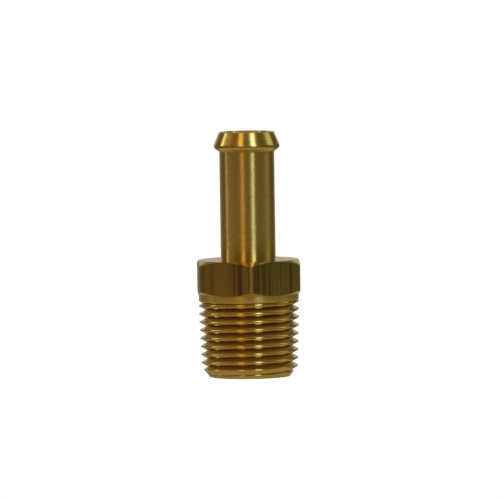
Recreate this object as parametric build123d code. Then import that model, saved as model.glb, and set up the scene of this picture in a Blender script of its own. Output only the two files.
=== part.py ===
from build123d import *
import math
import os

# A brass hose tail, turned as one piece from hexagon bar. It has a hose end with one
# rounded barb, a wrench hexagon, a short neck and a right-hand tapered pipe thread.
# All sizes are in millimetres and all angles in degrees. The origin is the centre of the
# end face at the thread, +Z runs up to the hose tip, and a corner of the hexagon is at -Y.

# Tapered pipe thread
THREADS_PER_INCH = 18
PITCH_DIAMETER = 15.545  # at the end face
DIAMETER_TAPER = 1 / 16  # growth of the diameter along the axis
FLANK_ANGLE = 60.0
CREST_FLAT = 0.108  # the roots are sharp
CREST_AT_X = 0.372  # height of the first crest on the side at +X
FULL_GROOVE = 12.364  # height up to which the groove has its full depth
FADE_TURNS = 1.35  # turns in which it then comes out, along its lower flank
END_CHAMFER = 1.36  # how far the edge of the end face lies inside the crests
END_CHAMFER_ANGLE = 37.5  # from the axis

# Neck between the thread and the hexagon
NECK_START = 10.5  # height at which the taper ends, which gives the neck its diameter
SHANK_LENGTH = 14.29  # end face to the underside of the hexagon

# Wrench hexagon
ACROSS_FLATS = 17.4625
HEX_HEIGHT = 6.0
HEX_CORNER_RADIUS = 0.85
HEX_CHAMFER_ANGLE = 30.0  # from the faces of the hexagon
HEX_CHAMFER_INSET = 0.1  # how far the chamfer cuts in from the middle of a flat

# Hose end
HOSE_END_LENGTH = 22.2
STEM_DIAMETER = 9.525
BARB_RISE = 0.95  # above the stem
BARB_CROWN = 2.4  # tip to the widest place of the barb
BARB_CROWN_RADIUS = 0.7
BARB_LEAD_ANGLE = 23.0  # from the axis
BARB_BACK_ANGLE = 55.0  # from the axis
TIP_EDGE_CHAMFER = 0.1

# Through bore
BORE_DIAMETER = 7.14
BORE_CHAMFER = 0.3

MM_PER_INCH = 25.4
CLEAR = 1.0  # how far a cutting shape reaches past what it cuts

pitch = MM_PER_INCH / THREADS_PER_INCH
flank_slope = math.tan(math.radians(FLANK_ANGLE / 2))
taper_slope = DIAMETER_TAPER / 2
thread_depth = (pitch - CREST_FLAT) / (2 * flank_slope)
stem_foot_z = SHANK_LENGTH + HEX_HEIGHT
mid_hex_z = SHANK_LENGTH + HEX_HEIGHT / 2
tip_z = stem_foot_z + HOSE_END_LENGTH
stem_radius = STEM_DIAMETER / 2


def crest_radius(z):
    return PITCH_DIAMETER / 2 + thread_depth / 2 + taper_slope * z


def root_radius(z):
    return crest_radius(z) - thread_depth


def turned(*outline):
    """A solid turned about the Z axis from the lines of a closed outline in the XZ plane."""
    return revolve(Plane.XZ * make_face(Curve() + [*outline]), Axis.Z)


def shank():
    """The blank of the thread with its end chamfer, and the neck up into the hexagon."""
    end_radius = crest_radius(0) - END_CHAMFER
    chamfer_slope = math.tan(math.radians(END_CHAMFER_ANGLE))
    chamfer_z = END_CHAMFER / (chamfer_slope - taper_slope)
    neck_radius = crest_radius(NECK_START)
    return turned(
        Polyline(
            (0, 0),
            (end_radius, 0),
            (crest_radius(chamfer_z), chamfer_z),
            (neck_radius, NECK_START),
            (neck_radius, mid_hex_z),
            (0, mid_hex_z),
            close=True,
        )
    )


def swept_edges(section, start_z, start_turns, turns, rise, growth):
    """The helical edges that the corners of the groove's section draw over some turns.

    Each corner is a height beside the middle of the groove and a distance out from the
    root of the thread. rise is the climb in one turn, and growth is what every radius
    gains along the axis.
    """
    lean = math.atan(growth)
    return [
        Edge.make_helix(
            pitch=rise / math.cos(lean),
            height=turns * rise,
            radius=root_radius(start_z + beside) + out,
            center=(0, 0, start_z + beside),
            angle=math.degrees(lean),
        ).rotate(Axis.Z, 360 * start_turns)
        for beside, out in section
    ]


def walls_between(edges):
    """Ruled faces from each edge of the section to the next, all the way round."""
    pairs = zip(edges, edges[1:] + edges[:1])
    return [Face.make_surface_from_curves(one, other) for one, other in pairs]


def end_wall(edges, end):
    """The flat face of the section at the start (0) or the end (1) of its edges."""
    return Face(Wire.make_polygon([edge @ end for edge in edges]))


def groove():
    """The space between the turns of the thread, which fades out under the hexagon."""
    # The groove stands a little out of the blank, with half a crest left between its turns.
    reach = thread_depth + CREST_FLAT / 4 / flank_slope
    mouth_half = reach * flank_slope
    section = [(-mouth_half, reach), (0, 0), (mouth_half, reach)]
    # It starts clear below the end face, a turn and a half under the first crest.
    start_z = CREST_AT_X - 1.5 * pitch
    full_turns = (FULL_GROOVE - start_z) / pitch
    # Where it fades, it leaves along its lower flank, so that the crest under it stays whole.
    fade_rise = pitch - thread_depth * flank_slope / FADE_TURNS
    fade_slope = taper_slope + thread_depth / (FADE_TURNS * fade_rise)
    full = swept_edges(section, start_z, 0, full_turns, pitch, taper_slope)
    fading = swept_edges(section, FULL_GROOVE, full_turns, FADE_TURNS, fade_rise, fade_slope)
    walls = walls_between(full) + walls_between(fading)
    return Solid(Shell([end_wall(full, 0), *walls, end_wall(fading, 1)]))


def hexagon():
    """The hexagon with rounded corners, chamfered to a circle on both of its faces."""
    flats = RegularPolygon(ACROSS_FLATS / 2, 6, major_radius=False, rotation=30)
    prism = extrude(fillet(flats.vertices(), HEX_CORNER_RADIUS), HEX_HEIGHT)
    face_radius = ACROSS_FLATS / 2 - HEX_CHAMFER_INSET
    corner_radius = ACROSS_FLATS / 2 / math.cos(math.radians(30))
    chamfer_slope = math.tan(math.radians(HEX_CHAMFER_ANGLE))
    chamfer_height = (corner_radius - face_radius) * chamfer_slope
    chamfers = turned(
        Polyline(
            (0, 0),
            (face_radius, 0),
            (corner_radius, chamfer_height),
            (corner_radius, HEX_HEIGHT - chamfer_height),
            (face_radius, HEX_HEIGHT),
            (0, HEX_HEIGHT),
            close=True,
        )
    )
    return Pos(0, 0, SHANK_LENGTH) * (prism & chamfers)


def stem_and_barb():
    """The stem from the middle of the hexagon, and the barb with its rounded crown."""
    lead = math.radians(BARB_LEAD_ANGLE)
    back = math.radians(BARB_BACK_ANGLE)
    crown_r = stem_radius + BARB_RISE - BARB_CROWN_RADIUS
    crown_z = tip_z - BARB_CROWN
    lead_r = crown_r + BARB_CROWN_RADIUS * math.cos(lead)
    lead_z = crown_z + BARB_CROWN_RADIUS * math.sin(lead)
    tip_radius = lead_r - (tip_z - lead_z) * math.tan(lead)
    back_r = crown_r + BARB_CROWN_RADIUS * math.cos(back)
    back_z = crown_z - BARB_CROWN_RADIUS * math.sin(back)
    back_foot_z = back_z - (back_r - stem_radius) / math.tan(back)
    crown_arc = BARB_LEAD_ANGLE + BARB_BACK_ANGLE
    body = turned(
        Polyline((0, tip_z), (0, mid_hex_z), (stem_radius, mid_hex_z)),
        Polyline((stem_radius, mid_hex_z), (stem_radius, back_foot_z), (back_r, back_z)),
        CenterArc((crown_r, crown_z), BARB_CROWN_RADIUS, -BARB_BACK_ANGLE, crown_arc),
        Polyline((lead_r, lead_z), (tip_radius, tip_z), (0, tip_z)),
    )
    return chamfer(body.edges().sort_by(Axis.Z)[-1], TIP_EDGE_CHAMFER)


def bore():
    """The hole from end to end, with a chamfer at each mouth."""
    bore_radius = BORE_DIAMETER / 2
    cutter_radius = bore_radius + BORE_CHAMFER + CLEAR
    return turned(
        Polyline(
            (0, -CLEAR),
            (cutter_radius, -CLEAR),
            (bore_radius, BORE_CHAMFER),
            (bore_radius, tip_z - BORE_CHAMFER),
            (cutter_radius, tip_z + CLEAR),
            (0, tip_z + CLEAR),
            close=True,
        )
    )


def hose_tail():
    threaded = shank() - groove()
    return threaded + hexagon() + stem_and_barb() - bore()


os.makedirs("parts", exist_ok=True)
export_step(hose_tail(), "parts/hose_tail.step")
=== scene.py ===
import math
from collections import namedtuple

import bmesh
import bpy
from bpy.props import FloatProperty, FloatVectorProperty, IntProperty, PointerProperty
from mathutils import Matrix, Quaternion, Vector


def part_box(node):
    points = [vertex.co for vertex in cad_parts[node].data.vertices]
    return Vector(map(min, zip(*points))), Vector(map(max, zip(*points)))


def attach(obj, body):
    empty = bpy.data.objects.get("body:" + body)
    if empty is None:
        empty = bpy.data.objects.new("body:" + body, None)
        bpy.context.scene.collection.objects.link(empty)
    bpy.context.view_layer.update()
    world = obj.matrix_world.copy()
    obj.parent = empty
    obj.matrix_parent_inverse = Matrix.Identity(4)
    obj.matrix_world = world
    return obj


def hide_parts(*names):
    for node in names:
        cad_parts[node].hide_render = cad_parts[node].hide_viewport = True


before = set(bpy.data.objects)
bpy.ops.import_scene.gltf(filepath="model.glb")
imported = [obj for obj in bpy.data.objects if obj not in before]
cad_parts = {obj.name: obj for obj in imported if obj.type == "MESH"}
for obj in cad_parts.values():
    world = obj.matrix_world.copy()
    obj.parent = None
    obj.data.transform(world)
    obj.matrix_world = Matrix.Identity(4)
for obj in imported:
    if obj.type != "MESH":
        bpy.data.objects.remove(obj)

# A brass hose tail: a plain stem with one rounded barb, a wrench hexagon with drawn flats
# and a right-hand tapered pipe thread. All lengths are in metres. The fitting stands on its
# thread end at the origin, and a corner of the hexagon points to -Y.

bl_info = {
    "name": "Brass hose tail",
    "version": (1, 0, 0),
    "blender": (4, 5, 0),
    "location": "3D View > Sidebar > Hose tail",
    "description": "Makes a turned brass hose tail with a true helical pipe thread, and a studio for it",
    "category": "Object",
}

MM = 0.001
NODE = "hose_tail"
CAD_LOW, CAD_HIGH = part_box(NODE)
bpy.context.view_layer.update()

# Form
INCH = 25.4  # in millimetres
THREADS_PER_INCH = 18
FLANK_ANGLE = math.radians(60)
FLANK_SLOPE = math.tan(FLANK_ANGLE / 2)
GROOVE_LEAD = 1.5  # turns from the first crest down to the start of the groove
HEX_SIDES = 6
HEX_CHAMFER = math.radians(30)  # from the faces of the hexagon

# Mesh
SECTION_STEPS = 11  # steps across one turn of the thread, from root to root
EDGE_STEPS = 3  # of these, the steps round each edge of a crest
CROWN_STEPS = 16  # steps round the barb's crown
WELD = 0.0015 * MM  # points nearer to each other than this become one
THINNEST = WELD / 3  # shorter edges are dissolved
SMOOTH_BELOW = math.radians(25)  # faces that meet at less than this shade as one

# Finishes, in the order of the material slots
CUT, DRAWN, STEM, BARB, NECK, THREAD = range(6)
NECK_BAND = 1.0 * MM  # of the neck, the stretch under the hexagon that has a finish of its own

# Noise in the finishes: how often it changes in a metre, and the ranges of its value that darken
MARKS_ACROSS = 300  # fine tool marks, across the axis; along it they change once in their width
BROAD_ACROSS = 90  # broad ones, across the axis
BROAD_ALONG = 0.22  # how often the broad ones change along the axis in the width of a fine one
SPECKS = 2600
WIDE_STREAKS = (900, 900, 12)
FINE_STREAKS = (4200, 4200, 30)
WIDE_SHARE = 0.6  # of the wide streaks; the fine ones have the rest
STREAKS_START = (34.6, 11.8, 6.2)  # where in the noise the flats' streaks are taken from
SPECKS_DARKEN = (0.42, 0.72)
MARKS_DARKEN = (0.45, 0.65)
STREAKS_DARKEN = (0.42, 0.62)

# Depth and gloss of the finishes
MARKS_ROUGHEN = 0.25  # how far the roughness follows the tool marks
STREAKS_ROUGHEN = 0.16  # how far it follows the streaks
STREAK_DEPTH = 0.01 * MM
STREAK_BUMP = 0.2
QUARTER_TURN = 0.25  # turns the smear of the gloss from round the axis to along it
CREST_TILT = 0.6  # how far the softened crests turn to face outwards
WORN_AND_HIGHLIGHT_BAND = (0.05 * MM, 0.01 * MM)  # inside a corner of the hexagon, where its band of wear and painted highlight begins and is full
# How far the corners are brightened: partly wear and partly a painted highlight
WORN_AND_HIGHLIGHT_BRIGHT = 0.25
RUBBED_ROUGHEN = 0.1

# Studio. Its zones of light blend over a range of x, y or z of the direction, which has length 1.
LEFT_TO_RIGHT = (-0.3, 0.3)
FRONT_TO_BACK = (-0.3, 0.3)
ROOM_TO_BACKDROP = (0.76, 0.9)
LOW_TO_HIGH_BACKDROP = (0.0, 0.05)
ROUND_TO_OVERHEAD = (0.8, 0.93)
WHITE = (1, 1, 1)
LAMP_DISTANCE = 0.9
FLOOR_RADIUS = 75 * MM
FLOOR_CORNERS = 96
FLOOR_GAP = 0.01 * MM  # the end face would flicker if it lay in the floor's own plane
FLOOR_GLOW = 1.2
GLOW_TO_CAMERA = 0.85  # how much of the floor's glow the camera sees; the rest holds the shadow
GLOW_TO_METAL = 0.1
SENSOR_WIDTH = 36  # in millimetres
PHOTO_WIDTH = 503  # in pixels
PIXEL = 0.1735  # size of one at the fitting, in millimetres

# Node trees
NODE_SPACING = 200  # from one node to the next in the editor
MIX_FACTOR, MIX_ONE, MIX_OTHER, MIX_RESULT = 0, 6, 7, 2  # colour sockets of a Mix node


def length(name, description, millimetres):
    return FloatProperty(
        name=name, description=description, default=millimetres * MM, min=0, unit="LENGTH", precision=6
    )


def angle(name, description, degrees):
    return FloatProperty(
        name=name, description=description, default=math.radians(degrees), unit="ROTATION", subtype="ANGLE"
    )


def share(name, description, value):
    return FloatProperty(
        name=name, description=description, default=value, min=0, max=1, subtype="FACTOR"
    )


def colour(name, description, value):
    return FloatVectorProperty(
        name=name, description=description, default=value, size=3, min=0, max=1, subtype="COLOR"
    )


class HoseTailSizes(bpy.types.PropertyGroup):
    """Sizes of the fitting."""

    pitch: length("Pitch", "Rise of the thread in one turn", INCH / THREADS_PER_INCH)
    crest_radius: length("Crest radius", "Radius of the thread's crests at the end face", 8.3368)
    taper: share("Taper", "Growth of the thread's radius along the axis", 1 / 32)
    crest_flat: length("Crest flat", "Width of the crests, which are rounded over it", 0.108)
    crest_at_x: length("First crest", "Height of the first crest on the side at +X", 0.372)
    full_groove: length("Full groove", "Height up to which the groove has its full depth", 12.364)
    fade_turns: FloatProperty(
        name="Fade", description="Turns in which the groove then comes out", default=1.35, min=0.5
    )
    end_chamfer: length("End chamfer", "How far the end face lies inside the crests", 1.36)
    end_chamfer_angle: angle("End chamfer angle", "Lean of the end chamfer from the axis", 37.5)
    neck_start: length("Neck start", "Height at which the taper ends", 10.5)
    shank: length("Shank", "Height of the underside of the hexagon", 14.29)
    across_flats: length("Across flats", "Size of the hexagon", (CAD_HIGH.x - CAD_LOW.x) / MM)
    hex_height: length("Hexagon height", "Height of the hexagon", 6.0)
    hex_corner: length("Corner radius", "Radius of the hexagon's corners", 0.85)
    hex_inset: length("Chamfer inset", "Depth of the hexagon's chamfers at the middle of a flat", 0.1)
    tip_height: length("Tip height", "Height of the hose tip", CAD_HIGH.z / MM)
    stem_radius: length("Stem radius", "Radius of the plain stem", 9.525 / 2)
    barb_rise: length("Barb rise", "Height of the barb over the stem", 0.95)
    barb_crown: length("Barb crown", "Tip to the widest place of the barb", 2.4)
    crown_radius: length("Crown radius", "Rounding of the barb", 0.7)
    lead_angle: angle("Lead angle", "Lean of the barb's lead from the axis", 23)
    back_angle: angle("Back angle", "Lean of the barb's back from the axis", 55)
    tip_chamfer: length("Tip chamfer", "Chamfer at the edge of the tip", 0.1)
    bore_radius: length("Bore radius", "Radius of the bore", 7.14 / 2)
    bore_chamfer: length("Bore chamfer", "Chamfer at both mouths of the bore", 0.3)
    columns: IntProperty(
        name="Columns",
        description="Mesh columns round the fitting, a multiple of 36",
        default=288,
        min=72,
    )


class HoseTailFinish(bpy.types.PropertyGroup):
    """Colours and gloss of the brass."""

    bright: colour("Bright brass", "Colour of freshly cut brass", (0.76, 0.58, 0.2))
    warm: colour("Warm brass", "Colour of brass that has begun to darken", (0.7, 0.48, 0.14))
    drawn: colour("Drawn brass", "Colour of the drawn flats of the hexagon", (0.56, 0.43, 0.14))
    stain: colour("Stain", "Colour of the stained streaks on the flats", (0.2, 0.13, 0.05))
    # Painted shade: the colour that the thread darkens to at its roots, where the grooves shade it
    root: colour("Root", "Colour at the roots of the thread", (0.6, 0.43, 0.21))
    root_shade: FloatVectorProperty(
        name="Root shade",
        description="Depths between which the thread darkens",
        size=2,
        default=(0.2 * MM, 0.8 * MM),
        unit="LENGTH",
        precision=6,
    )
    crest_wear: length("Crest wear", "Depth over which the crests are softened", 0.28)
    cut_roughness: share("Cut roughness", "Roughness of the thread and the turned hexagon faces", 0.17)
    drawn_roughness: share("Drawn roughness", "Roughness of the drawn flats", 0.26)
    stem_roughness: share("Stem roughness", "Roughness of the stem and the neck", 0.31)
    barb_roughness: share("Barb roughness", "Roughness of the barb", 0.27)


class HoseTailStudio(bpy.types.PropertyGroup):
    """Light, background and camera."""

    key: colour("Key light", "Colour of the light at the right", (0.78, 0.95, 0.99))
    warm: colour("Warm light", "Colour of the light at the left", (1.0, 0.68, 0.15))
    left_edge: colour("Left edge light", "Colour of the thin light at the far left", (0.9, 1.0, 0.9))
    right_edge: colour("Right edge light", "Colour of the light at the far right", (0.95, 1.0, 0.65))
    left_side: colour("Left side light", "Colour of the wide light at the left", (1.0, 0.6, 0.2))
    room_left: colour("Room, left", "Dim light from the room at the left", (0.155, 0.1, 0.05))
    room_right: colour("Room, right", "Dim light from the room at the right", (0.105, 0.092, 0.05))
    backdrop: colour("Backdrop", "Light from the backdrop behind", (0.22, 0.23, 0.22))
    backdrop_high: colour("Backdrop, high", "Light from the backdrop over the horizon", (0.48, 0.46, 0.38))
    overhead_front: colour("Overhead, front", "Light from above and in front", (0.28, 0.15, 0.06))
    overhead_back: colour("Overhead, back", "Light from above and behind", (0.45, 0.4, 0.26))
    floor: colour("Floor", "Colour of the sheet under the fitting", (0.78, 0.68, 0.38))
    azimuth: angle("Azimuth", "Turn of the camera to the right round the fitting", -2.8)
    elevation: angle("Elevation", "Height of the camera over the horizon", 3.5)
    roll: angle("Roll", "Turn of the camera, clockwise", -0.85)
    distance: FloatProperty(
        name="Distance", description="Camera to fitting", default=1.2, min=0.1, unit="LENGTH"
    )
    picture_width: length("Picture width", "Width of the view at the fitting", PHOTO_WIDTH * PIXEL)
    aim_right: length("Aim right", "How far the picture's middle lies right of the axis", 0.57)
    aim_up: FloatProperty(
        name="Aim up", description="How far it lies above half height", default=0.59 * MM, unit="LENGTH"
    )


class Formula:
    """A number in a node tree. Arithmetic with it adds the nodes that work out the result."""

    def __init__(self, tree, socket):
        self.tree = tree
        self.socket = socket

    def apply(self, operation, *others):
        """What a Math node makes of this number and the others."""
        node = add_node(self.tree, "ShaderNodeMath", operation=operation)
        for place, value in enumerate((self, *others)):
            set_input(self.tree, node, place, value)
        return Formula(self.tree, node.outputs[0])

    def __add__(self, other):
        return self.apply("ADD", other)

    def __sub__(self, other):
        return self.apply("SUBTRACT", other)

    def __mul__(self, other):
        return self.apply("MULTIPLY", other)

    def __truediv__(self, other):
        return self.apply("DIVIDE", other)

    def least(self, other):
        return self.apply("MINIMUM", other)

    def most(self, other):
        return self.apply("MAXIMUM", other)

    def ramp(self, low, high):
        """0 at low, 1 at high and smooth between them."""
        node = add_node(self.tree, "ShaderNodeMapRange", interpolation_type="SMOOTHSTEP")
        set_input(self.tree, node, "Value", self)
        set_input(self.tree, node, "From Min", low)
        set_input(self.tree, node, "From Max", high)
        return Formula(self.tree, node.outputs["Result"])


def add_node(tree, kind, **settings):
    node = tree.nodes.new(kind)
    node.location.x = NODE_SPACING * len(tree.nodes)
    for name, value in settings.items():
        setattr(node, name, value)
    return node


def set_input(tree, node, name, value):
    """Links a formula or a socket to an input of a node, or sets a plain value on it."""
    if isinstance(value, Formula):
        tree.links.new(value.socket, node.inputs[name])
    elif isinstance(value, bpy.types.NodeSocket):
        tree.links.new(value, node.inputs[name])
    else:
        node.inputs[name].default_value = value


def end_tree(tree, kind, socket):
    """Links what a tree has made to its output node."""
    result = add_node(tree, kind)
    tree.links.new(socket, result.inputs[0])


def separate(tree, vector):
    node = add_node(tree, "ShaderNodeSeparateXYZ")
    tree.links.new(vector, node.inputs[0])
    return [Formula(tree, output) for output in node.outputs]


def combine(tree, x, y, z):
    node = add_node(tree, "ShaderNodeCombineXYZ")
    for name, value in zip("XYZ", (x, y, z)):
        set_input(tree, node, name, value)
    return node.outputs[0]


def neck_radius(sizes):
    return sizes.crest_radius + sizes.taper * sizes.neck_start


def hex_face_radius(sizes):
    return sizes.across_flats / 2 - sizes.hex_inset


def neck_top(sizes):
    """Height at which the neck runs into the lower chamfer of the hexagon."""
    return sizes.shank + (neck_radius(sizes) - hex_face_radius(sizes)) * math.tan(HEX_CHAMFER)


def shank_inputs(sizes):
    """The sizes of the threaded shank by the names of its node tree's inputs."""
    groove_start = sizes.crest_at_x - GROOVE_LEAD * sizes.pitch
    half_groove = (sizes.pitch - sizes.crest_flat) / 2
    top = neck_top(sizes)
    return {
        "Pitch": sizes.pitch,
        "Turns": math.ceil((top + half_groove - groove_start) / sizes.pitch),
        "Columns": sizes.columns,
        "Groove start": groove_start,
        "Crest radius": sizes.crest_radius,
        "Taper": sizes.taper,
        "Depth": half_groove / FLANK_SLOPE,
        "Edge tangent": sizes.crest_flat / 2,
        "Full groove": sizes.full_groove,
        "Fade turns": sizes.fade_turns,
        "Neck radius": neck_radius(sizes),
        "End radius": sizes.crest_radius - sizes.end_chamfer,
        "Chamfer slope": math.tan(sizes.end_chamfer_angle),
        "Top": top,
    }


def crest_radius(size, height):
    """Radius of the crests at a height, as if the taper had no end."""
    return height * size["Taper"] + size["Crest radius"]


def blank_radius(size, height):
    """Radius at a height of the blank that the thread is cut from, with its neck."""
    return crest_radius(size, height).least(size["Neck radius"])


def chamfer_radius(size, height):
    """Radius at a height of the cone of the end chamfer."""
    return height * size["Chamfer slope"] + size["End radius"]


def crest_edge(size, from_root, depth):
    """How far beside the groove's middle and outside the blank a step round the edge lies.

    The edge of a crest is an arc, tangent to the flank and to the crest.
    """
    half_width = depth * FLANK_SLOPE
    tangent = size["Edge tangent"].least(half_width)
    rounding = tangent / FLANK_SLOPE
    first_of_edge = SECTION_STEPS // 2 - EDGE_STEPS
    flank_lean = math.pi / 2 - FLANK_ANGLE / 2
    lean = ((from_root - first_of_edge) / EDGE_STEPS * -1 + 1).least(1.0) * flank_lean
    beside = half_width + tangent - rounding * lean.apply("SINE")
    outside = rounding * (lean.apply("COSINE") - 1)
    return beside, outside


def thread_place(tree, size, column, step):
    """Where a point of the thread's strip lies, from its column and its step across a turn."""
    # The upper half of the section belongs to the groove one turn on, and mirrors the lower.
    upper = step.apply("GREATER_THAN", SECTION_STEPS / 2)
    side = upper * -2 + 1
    from_root = step.least(step * -1 + SECTION_STEPS)
    turn = column / size["Columns"]
    middle = (turn + upper) * size["Pitch"] + size["Groove start"]

    # Where the groove fades, it comes out along its lower flank.
    fade = (middle - size["Full groove"]) / (size["Pitch"] * size["Fade turns"])
    lost = fade.most(0.0).least(1.0) * size["Depth"]
    middle = middle - lost * FLANK_SLOPE

    # Above the taper's end, the neck takes more of the groove's depth.
    crests = crest_radius(size, middle)
    depth = (blank_radius(size, middle) - crests + size["Depth"] - lost).most(0.0)
    edge_beside, edge_outside = crest_edge(size, from_root, depth)

    # Step 0 is the root, and step 1 the place where the end chamfer cuts the flank.
    gap_at_root = chamfer_radius(size, middle) - (crests - depth)
    edge_height = middle + edge_beside * side
    gap_at_edge = chamfer_radius(size, edge_height) - blank_radius(size, edge_height) - edge_outside
    cut = (gap_at_root / (gap_at_root - gap_at_edge)).most(0.0).least(1.0)
    on_edge = from_root.apply("GREATER_THAN", 1.5)  # from step 2 on
    along_flank = (from_root.least(1.0) * cut).most(on_edge)

    # What lies under the end face or above the neck is pressed flat onto the circle there.
    height = (middle + along_flank * edge_beside * side).most(0.0).least(size["Top"])
    outside = along_flank * (edge_outside + depth) - depth
    radius = (blank_radius(size, height) + outside).least(chamfer_radius(size, height))
    way = turn * math.tau
    return combine(tree, radius * way.apply("COSINE"), radius * way.apply("SINE"), height)


def helical_thread_tree(inputs, material):
    """A tree that winds the outside of the threaded shank as one strip, root to root.

    inputs gives each input's name and default. The strip is a grid: X counts the columns
    along the helix, and Y the steps across one turn. Points pressed onto one place are welded.
    """
    tree = bpy.data.node_groups.new("Helical thread", "GeometryNodeTree")
    tree.interface.new_socket("Geometry", in_out="OUTPUT", socket_type="NodeSocketGeometry")
    for name, value in inputs.items():
        socket = tree.interface.new_socket(name, in_out="INPUT", socket_type="NodeSocketFloat")
        socket.default_value = value
    source = add_node(tree, "NodeGroupInput")
    size = {name: Formula(tree, source.outputs[name]) for name in inputs}

    steps_along = size["Turns"] * size["Columns"]
    grid = add_node(tree, "GeometryNodeMeshGrid")
    set_input(tree, grid, "Size X", steps_along)
    set_input(tree, grid, "Size Y", float(SECTION_STEPS))
    set_input(tree, grid, "Vertices X", steps_along + 1)
    set_input(tree, grid, "Vertices Y", SECTION_STEPS + 1)
    x, y, _ = separate(tree, add_node(tree, "GeometryNodeInputPosition").outputs[0])
    column = (x + steps_along * 0.5).apply("ROUND")
    step = (y + SECTION_STEPS / 2).apply("ROUND")

    bend = add_node(tree, "GeometryNodeSetPosition")
    set_input(tree, bend, "Geometry", grid.outputs["Mesh"])
    set_input(tree, bend, "Position", thread_place(tree, size, column, step))
    weld = add_node(tree, "GeometryNodeMergeByDistance")
    set_input(tree, weld, "Geometry", bend.outputs[0])
    set_input(tree, weld, "Distance", WELD)
    real = add_node(tree, "GeometryNodeRealizeInstances")
    set_input(tree, real, "Geometry", weld.outputs[0])
    painted = add_node(tree, "GeometryNodeSetMaterial")
    set_input(tree, painted, "Geometry", real.outputs[0])
    set_input(tree, painted, "Material", material)
    end_tree(tree, "NodeGroupOutput", painted.outputs[0])
    return tree


def threaded_shank(inputs, material):
    """The outside of the thread and the neck, as a plain mesh."""
    tree = helical_thread_tree(inputs, material)
    carrier = bpy.data.objects.new("thread_carrier", bpy.data.meshes.new("thread_carrier"))
    bpy.context.scene.collection.objects.link(carrier)
    modifier = carrier.modifiers.new("Helical thread", "NODES")
    modifier.node_group = tree
    for item in tree.interface.items_tree:
        if item.in_out == "INPUT":
            modifier[item.identifier] = float(inputs[item.name])
    evaluated = carrier.evaluated_get(bpy.context.evaluated_depsgraph_get())
    mesh = bpy.data.meshes.new_from_object(evaluated)
    carrier.modifiers.remove(modifier)
    bpy.data.objects.remove(carrier)
    return mesh


def circle(corners, radius):
    turns = [math.tau * corner / corners for corner in range(corners)]
    return [Vector((radius * math.cos(turn), radius * math.sin(turn))) for turn in turns]


def corner_centre(sizes):
    """How far the centre of a corner's rounding lies from the axis."""
    return (sizes.across_flats / 2 - sizes.hex_corner) / math.cos(math.pi / HEX_SIDES)


def hexagon_outline(sizes):
    """The outline of the hexagon, from the middle of its flat at +X.

    A third of each side's columns lies on its corner.
    """
    per_side = sizes.columns // HEX_SIDES
    on_corner = per_side // 3
    half_flat = (per_side - on_corner) // 2
    sector = math.tau / HEX_SIDES
    out = sizes.across_flats / 2
    flat_end = corner_centre(sizes) * math.sin(sector / 2)
    centre = Vector((out - sizes.hex_corner, flat_end))
    turns = [sector * k / on_corner for k in range(1, on_corner)]
    flat = [Vector((out, flat_end * k / half_flat)) for k in range(-half_flat, half_flat + 1)]
    corner = [centre + Vector((math.cos(turn), math.sin(turn))) * sizes.hex_corner for turn in turns]
    outline = []
    for side in range(HEX_SIDES):
        turned = Matrix.Rotation(sector * side, 2)
        outline += [turned @ point for point in flat + corner]
    return outline[half_flat:] + outline[:half_flat]


def barb_profile(sizes):
    """Radius and height from the top of the stem round the barb and onto the tip."""
    lead, back = sizes.lead_angle, sizes.back_angle
    crown_r = sizes.stem_radius + sizes.barb_rise - sizes.crown_radius
    crown_z = sizes.tip_height - sizes.barb_crown
    crown = []
    for step in range(CROWN_STEPS + 1):
        lean = -back + (lead + back) * step / CROWN_STEPS
        crown.append((
            crown_r + sizes.crown_radius * math.cos(lean),
            crown_z + sizes.crown_radius * math.sin(lean),
        ))
    back_r, back_z = crown[0]
    lead_r, lead_z = crown[-1]
    back_foot = back_z - (back_r - sizes.stem_radius) / math.tan(back)
    tip_r = lead_r - (sizes.tip_height - lead_z) * math.tan(lead)
    chamfer = sizes.tip_chamfer
    return [
        (sizes.stem_radius, back_foot),
        *crown,
        (tip_r + chamfer * math.sin(lead), sizes.tip_height - chamfer * math.cos(lead)),
        (tip_r - chamfer, sizes.tip_height),
    ]


def turned_rings(sizes):
    """The rings of mesh points from the neck over the tip and through the bore to the end face.

    With each ring, a list of points, comes the finish of the strip that starts at it.
    """
    hexagon = hexagon_outline(sizes)
    face = hex_face_radius(sizes)
    foot = sizes.shank + sizes.hex_height

    def level(radius, height):
        return [Vector((*point, height)) for point in circle(sizes.columns, radius)]

    def chamfer_curve(height, slope):
        return [Vector((*point, height + (point.length - face) * slope)) for point in hexagon]

    bore, mouth, tip = sizes.bore_radius, sizes.bore_chamfer, sizes.tip_height
    barb = [(level(radius, height), BARB) for radius, height in barb_profile(sizes)]
    return [
        (level(neck_radius(sizes), neck_top(sizes)), CUT),
        (chamfer_curve(sizes.shank, math.tan(HEX_CHAMFER)), DRAWN),
        (chamfer_curve(foot, -math.tan(HEX_CHAMFER)), CUT),
        (level(face, foot), CUT),
        (level(sizes.stem_radius, foot), STEM),
        *barb,
        (level(bore + mouth, tip), CUT),
        (level(bore, tip - mouth), CUT),
        (level(bore, mouth), CUT),
        (level(bore + mouth, 0), CUT),
        (level(sizes.crest_radius - sizes.end_chamfer, 0), CUT),
    ]


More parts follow.
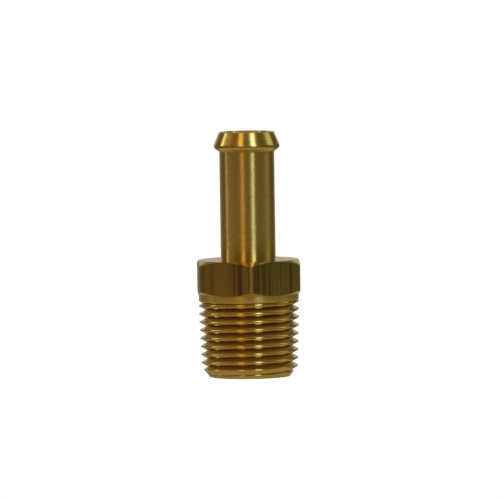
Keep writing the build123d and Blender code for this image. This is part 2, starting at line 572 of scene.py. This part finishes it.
def closed_body(thread, sizes):
    """Welds the turned rings to the thread and gives each face its finish."""
    body = bmesh.new()
    body.from_mesh(thread)
    for face in body.faces:
        on_neck = face.calc_center_median().z > sizes.shank - NECK_BAND
        face.material_index = NECK if on_neck else THREAD
    rings = [([body.verts.new(point) for point in ring], made) for ring, made in turned_rings(sizes)]
    for (one, made), (other, _) in zip(rings, rings[1:]):
        for k in range(sizes.columns):
            after = (k + 1) % sizes.columns
            face = body.faces.new((one[k], one[after], other[after], other[k]))
            face.material_index = made
    bmesh.ops.remove_doubles(body, verts=body.verts, dist=WELD)
    bmesh.ops.dissolve_degenerate(body, edges=body.edges, dist=THINNEST)
    bmesh.ops.recalc_face_normals(body, faces=body.faces)
    if any(len(edge.link_faces) != 2 for edge in body.edges):
        raise RuntimeError("the fitting's mesh isn't closed")
    if body.calc_volume(signed=True) < 0:
        bmesh.ops.reverse_faces(body, faces=body.faces)
    mesh = bpy.data.meshes.new("hose_tail_body")
    body.to_mesh(mesh)
    body.free()
    mesh.polygons.foreach_set("use_smooth", [True] * len(mesh.polygons))
    mesh.set_sharp_from_angle(angle=SMOOTH_BELOW)
    return mesh


def mix_colour(tree, factor, one, other):
    """A mix of two colours, each a socket or a plain value."""
    node = add_node(tree, "ShaderNodeMix", data_type="RGBA")
    set_input(tree, node, MIX_FACTOR, factor)
    for place, value in ((MIX_ONE, one), (MIX_OTHER, other)):
        linked = isinstance(value, bpy.types.NodeSocket)
        set_input(tree, node, place, value if linked else (*value, 1))
    return node.outputs[MIX_RESULT]


def noise(tree, vector, scale, detail=3.0):
    node = add_node(tree, "ShaderNodeTexNoise")
    set_input(tree, node, "Vector", vector)
    set_input(tree, node, "Scale", scale)
    set_input(tree, node, "Detail", detail)
    return Formula(tree, node.outputs[0])


def stretched(tree, coordinates, scale, start=(0, 0, 0)):
    node = add_node(tree, "ShaderNodeMapping")
    set_input(tree, node, "Vector", coordinates)
    set_input(tree, node, "Location", start)
    set_input(tree, node, "Scale", scale)
    return node.outputs[0]


def bumped(tree, height, strength, distance):
    """The surface's normal, turned as if the surface had this height."""
    node = add_node(tree, "ShaderNodeBump")
    set_input(tree, node, "Height", height)
    set_input(tree, node, "Strength", strength)
    set_input(tree, node, "Distance", distance)
    return node.outputs[0]


def from_axis(tree, coordinates):
    """A place's distance from the axis, and its height."""
    x, y, z = separate(tree, coordinates)
    return (x * x + y * y).apply("SQRT"), z


def new_metal(name):
    """A material with the shader of a metal, and the coordinates that its pattern follows."""
    material = bpy.data.materials.new(name)
    material.use_nodes = True
    tree = material.node_tree
    tree.nodes.clear()
    shader = add_node(tree, "ShaderNodeBsdfPrincipled")
    set_input(tree, shader, "Metallic", 1.0)
    end_tree(tree, "ShaderNodeOutputMaterial", shader.outputs[0])
    coordinates = add_node(tree, "ShaderNodeTexCoord").outputs["Object"]
    return material, tree, shader, coordinates


def below_blank(tree, coordinates, size):
    """How far a place on the thread lies inside the blank that the thread was cut from."""
    radius, height = from_axis(tree, coordinates)
    return blank_radius(size, height).least(chamfer_radius(size, height)) - radius


def turned_brass(name, finish, roughness, pull, mark_width, mark_depth, shank=None):
    """Bright brass with fine tool marks round the axis, which smear its gloss along the axis.

    pull is how much longer than wide the smear is, from 0 to 1. With the sizes of the
    threaded shank, the thread's roots get a painted shade and its crests are softened.
    """
    material, tree, shader, coordinates = new_metal(name)
    fine_grain = (MARKS_ACROSS, MARKS_ACROSS, 1 / mark_width)
    broad_grain = (BROAD_ACROSS, BROAD_ACROSS, BROAD_ALONG / mark_width)
    fine = noise(tree, stretched(tree, coordinates, fine_grain), 1.0, detail=2.0)
    broad = noise(tree, stretched(tree, coordinates, broad_grain), 1.0, detail=2.0)
    specks = noise(tree, coordinates, SPECKS)
    marks = fine * 0.5 + broad * 0.5
    darkened = specks.ramp(*SPECKS_DARKEN) * 0.5 + fine.ramp(*MARKS_DARKEN) * 0.5
    tone = mix_colour(tree, darkened, finish.bright, finish.warm)
    height = marks * mark_depth
    if shank:
        depth = below_blank(tree, coordinates, shank)
        # Painted shade: the colour darkens towards the roots of the thread, where the grooves shade it
        tone = mix_colour(tree, depth.ramp(*finish.root_shade), tone, finish.root)
        worn = (depth / finish.crest_wear * -1 + 1).most(0.0)
        height = height - worn * worn * finish.crest_wear * CREST_TILT
    tangent = add_node(tree, "ShaderNodeTangent", direction_type="RADIAL", axis="Z")
    set_input(tree, shader, "Base Color", tone)
    set_input(tree, shader, "Roughness", (marks - 0.5) * MARKS_ROUGHEN + roughness)
    set_input(tree, shader, "Anisotropic", pull)
    set_input(tree, shader, "Anisotropic Rotation", QUARTER_TURN)
    set_input(tree, shader, "Tangent", tangent.outputs[0])
    set_input(tree, shader, "Normal", bumped(tree, height, strength=1.0, distance=1.0))
    return material


def drawn_brass(finish, sizes):
    """The bar's own drawn surface, with streaks along the axis and a brown stain in them.

    The corners of the hexagon are worn a little brighter, and the brightening also paints a highlight on
    them.
    """
    material, tree, shader, coordinates = new_metal("drawn_brass")
    wide = noise(tree, stretched(tree, coordinates, WIDE_STREAKS, STREAKS_START), 1.0)
    fine = noise(tree, stretched(tree, coordinates, FINE_STREAKS, STREAKS_START), 1.0, detail=4.0)
    streaks = wide * WIDE_SHARE + fine * (1 - WIDE_SHARE)
    radius, _ = from_axis(tree, coordinates)
    corner = corner_centre(sizes) + sizes.hex_corner
    # Painted highlight and wear: a band round each corner of the hexagon is brightened
    worn_and_highlight = radius.ramp(*(corner - inside for inside in WORN_AND_HIGHLIGHT_BAND))
    tone = mix_colour(tree, streaks.ramp(*STREAKS_DARKEN), finish.drawn, finish.stain)
    tone = mix_colour(tree, worn_and_highlight * WORN_AND_HIGHLIGHT_BRIGHT, tone, finish.bright)
    roughness = (fine - 0.5) * STREAKS_ROUGHEN + worn_and_highlight * RUBBED_ROUGHEN + finish.drawn_roughness
    set_input(tree, shader, "Base Color", tone)
    set_input(tree, shader, "Roughness", roughness)
    set_input(tree, shader, "Normal", bumped(tree, streaks, STREAK_BUMP, STREAK_DEPTH))
    return material


def finishes(finish, sizes, shank):
    """The materials by the places of their slots."""
    cut = {"pull": 0.4, "mark_width": 0.12 * MM, "mark_depth": 0.004 * MM}
    stem = {"pull": 1.0, "mark_width": 0.16 * MM, "mark_depth": 0.04 * MM}
    barb = {"pull": 0.7, "mark_width": 0.16 * MM, "mark_depth": 0.006 * MM}
    neck = {"pull": 0.8, "mark_width": 0.16 * MM, "mark_depth": 0.01 * MM}
    return {
        CUT: turned_brass("cut_brass", finish, finish.cut_roughness, **cut),
        DRAWN: drawn_brass(finish, sizes),
        STEM: turned_brass("turned_stem", finish, finish.stem_roughness, **stem),
        BARB: turned_brass("turned_barb", finish, finish.barb_roughness, **barb),
        NECK: turned_brass("turned_neck", finish, finish.stem_roughness, **neck),
        THREAD: turned_brass("cut_thread", finish, finish.cut_roughness, **cut, shank=shank),
    }


def build_body(sizes, finish):
    """Makes the fitting as one piece, which stands for the CAD node."""
    shank = shank_inputs(sizes)
    materials = finishes(finish, sizes, shank)
    mesh = closed_body(threaded_shank(shank, materials[THREAD]), sizes)
    for place in sorted(materials):
        mesh.materials.append(materials[place])
    body = bpy.data.objects.new("hose_tail_body", mesh)
    bpy.context.scene.collection.objects.link(body)
    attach(body, "root")
    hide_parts(NODE)


def direction(azimuth, elevation):
    """The way from the fitting to a place. Azimuth 0 is at -Y, and grows towards +X."""
    level = math.cos(elevation)
    return Vector((math.sin(azimuth) * level, -math.cos(azimuth) * level, math.sin(elevation)))


Lamp = namedtuple("Lamp", "name azimuth elevation width height lean strength tint")


def lamps(studio):
    """The strip lamps. All angles are in degrees; lean tips a strip's top to the right."""
    return [
        Lamp("key_strip", 23, 34, 13, 48, 5, 3.0, studio.key),
        Lamp("warm_strip", -26, 34, 13, 48, -14, 1.4, studio.warm),
        Lamp("left_edge_strip", -109, 34, 9, 46, -18, 1.9, studio.left_edge),
        Lamp("right_edge_strip", 101, 38, 24, 44, 10, 0.75, studio.right_edge),
        Lamp("left_side_fill", -86, 42, 26, 40, 0, 0.32, studio.left_side),
    ]


def place_lamp(lamp, middle):
    """Hangs a strip lamp that faces the middle of the fitting. Its strength is its radiance."""
    data = bpy.data.lights.new(lamp.name, "AREA")
    data.shape = "RECTANGLE"
    data.size = 2 * LAMP_DISTANCE * math.tan(math.radians(lamp.width / 2))
    data.size_y = 2 * LAMP_DISTANCE * math.tan(math.radians(lamp.height / 2))
    data.energy = lamp.strength * math.pi * data.size * data.size_y
    data.color = lamp.tint
    light = bpy.data.objects.new(lamp.name, data)
    way = direction(math.radians(lamp.azimuth), math.radians(lamp.elevation))
    light.location = middle + way * LAMP_DISTANCE
    lean = Quaternion((0, 0, 1), -math.radians(lamp.lean))
    light.rotation_euler = (way.to_track_quat("Z", "Y") @ lean).to_euler()
    light.visible_camera = False
    bpy.context.scene.collection.objects.link(light)


def light_paths(tree):
    """Whether a camera ray, a glossy ray or a transmission ray is looking, each 0 or 1."""
    node = add_node(tree, "ShaderNodeLightPath")
    names = ("Is Camera Ray", "Is Glossy Ray", "Is Transmission Ray")
    return [Formula(tree, node.outputs[name]) for name in names]


def make_world(studio):
    """A dim room in front, a pale backdrop behind and soft light above. The camera sees white."""
    world = bpy.data.worlds.new("studio")
    bpy.context.scene.world = world
    world.use_nodes = True
    tree = world.node_tree
    tree.nodes.clear()
    x, y, z = separate(tree, add_node(tree, "ShaderNodeTexCoord").outputs["Generated"])
    room = mix_colour(tree, x.ramp(*LEFT_TO_RIGHT), studio.room_left, studio.room_right)
    backdrop = mix_colour(tree, z.ramp(*LOW_TO_HIGH_BACKDROP), studio.backdrop, studio.backdrop_high)
    overhead = mix_colour(tree, y.ramp(*FRONT_TO_BACK), studio.overhead_front, studio.overhead_back)
    light = mix_colour(tree, y.ramp(*ROOM_TO_BACKDROP), room, backdrop)
    light = mix_colour(tree, z.ramp(*ROUND_TO_OVERHEAD), light, overhead)
    camera, _, transmission = light_paths(tree)
    light = mix_colour(tree, camera.most(transmission), light, WHITE)
    background = add_node(tree, "ShaderNodeBackground")
    set_input(tree, background, "Color", light)
    end_tree(tree, "ShaderNodeOutputWorld", background.outputs[0])


def make_floor(studio):
    """A round pale sheet, which the camera sees as white with a faint shadow on it."""
    mesh = bpy.data.meshes.new("floor")
    rim = [Vector((*point, -FLOOR_GAP)) for point in circle(FLOOR_CORNERS, FLOOR_RADIUS)]
    mesh.from_pydata(rim, [], [range(FLOOR_CORNERS)])
    floor = bpy.data.objects.new("floor", mesh)
    bpy.context.scene.collection.objects.link(floor)
    material = bpy.data.materials.new("pale_sheet")
    material.use_nodes = True
    tree = material.node_tree
    tree.nodes.clear()
    diffuse = add_node(tree, "ShaderNodeBsdfDiffuse")
    set_input(tree, diffuse, "Color", (*studio.floor, 1))
    glow = add_node(tree, "ShaderNodeEmission")
    set_input(tree, glow, "Strength", FLOOR_GLOW)
    camera, glossy, transmission = light_paths(tree)
    seen = (camera.most(transmission) * GLOW_TO_CAMERA).most(glossy * GLOW_TO_METAL)
    mix = add_node(tree, "ShaderNodeMixShader")
    set_input(tree, mix, 0, seen)
    set_input(tree, mix, 1, diffuse.outputs[0])
    set_input(tree, mix, 2, glow.outputs[0])
    end_tree(tree, "ShaderNodeOutputMaterial", mix.outputs[0])
    mesh.materials.append(material)


def make_camera(studio, middle):
    """A camera that sees the fitting as the photograph does."""
    data = bpy.data.cameras.new("camera")
    data.sensor_width = SENSOR_WIDTH
    data.lens = SENSOR_WIDTH * studio.distance / studio.picture_width
    camera = bpy.data.objects.new("camera", data)
    back = direction(studio.azimuth, studio.elevation)
    turn = back.to_track_quat("Z", "Y") @ Quaternion((0, 0, 1), studio.roll)
    aim = middle + turn @ Vector((studio.aim_right, studio.aim_up, 0))
    camera.location = aim + back * studio.distance
    camera.rotation_euler = turn.to_euler()
    bpy.context.scene.collection.objects.link(camera)
    bpy.context.scene.camera = camera


class HOSETAIL_OT_body(bpy.types.Operator):
    """Makes the brass fitting with its thread"""

    bl_idname = "hosetail.body"
    bl_label = "Make the fitting"

    def execute(self, context):
        scene = context.scene
        build_body(scene.hose_tail_sizes, scene.hose_tail_finish)
        return {"FINISHED"}


class HOSETAIL_OT_stage(bpy.types.Operator):
    """Makes the floor, the light and the camera"""

    bl_idname = "hosetail.stage"
    bl_label = "Make the studio"

    def execute(self, context):
        studio = context.scene.hose_tail_studio
        middle = Vector((0, 0, (CAD_LOW.z + CAD_HIGH.z) / 2))
        make_world(studio)
        make_floor(studio)
        for lamp in lamps(studio):
            place_lamp(lamp, middle)
        make_camera(studio, middle)
        context.scene.view_settings.view_transform = "Standard"
        return {"FINISHED"}


OPERATORS = (HOSETAIL_OT_body, HOSETAIL_OT_stage)
SETTINGS = {
    "hose_tail_sizes": HoseTailSizes,
    "hose_tail_finish": HoseTailFinish,
    "hose_tail_studio": HoseTailStudio,
}


class HOSETAIL_PT_panel(bpy.types.Panel):
    """The buttons that make the fitting and the studio, and their sizes, colours and light."""

    bl_label = "Hose tail"
    bl_idname = "HOSETAIL_PT_panel"
    bl_space_type = "VIEW_3D"
    bl_region_type = "UI"
    bl_category = "Hose tail"

    def draw(self, context):
        for operator in OPERATORS:
            self.layout.operator(operator.bl_idname)
        for name, group in SETTINGS.items():
            box = self.layout.box()
            for field in group.__annotations__:
                box.prop(getattr(context.scene, name), field)


CLASSES = (*SETTINGS.values(), *OPERATORS, HOSETAIL_PT_panel)


def register():
    for each in CLASSES:
        bpy.utils.register_class(each)
    for name, group in SETTINGS.items():
        setattr(bpy.types.Scene, name, PointerProperty(type=group))


def unregister():
    for name in SETTINGS:
        delattr(bpy.types.Scene, name)
    for each in reversed(CLASSES):
        bpy.utils.unregister_class(each)


def main():
    register()
    bpy.ops.hosetail.body()
    bpy.ops.hosetail.stage()


if __name__ == "__main__":
    main()
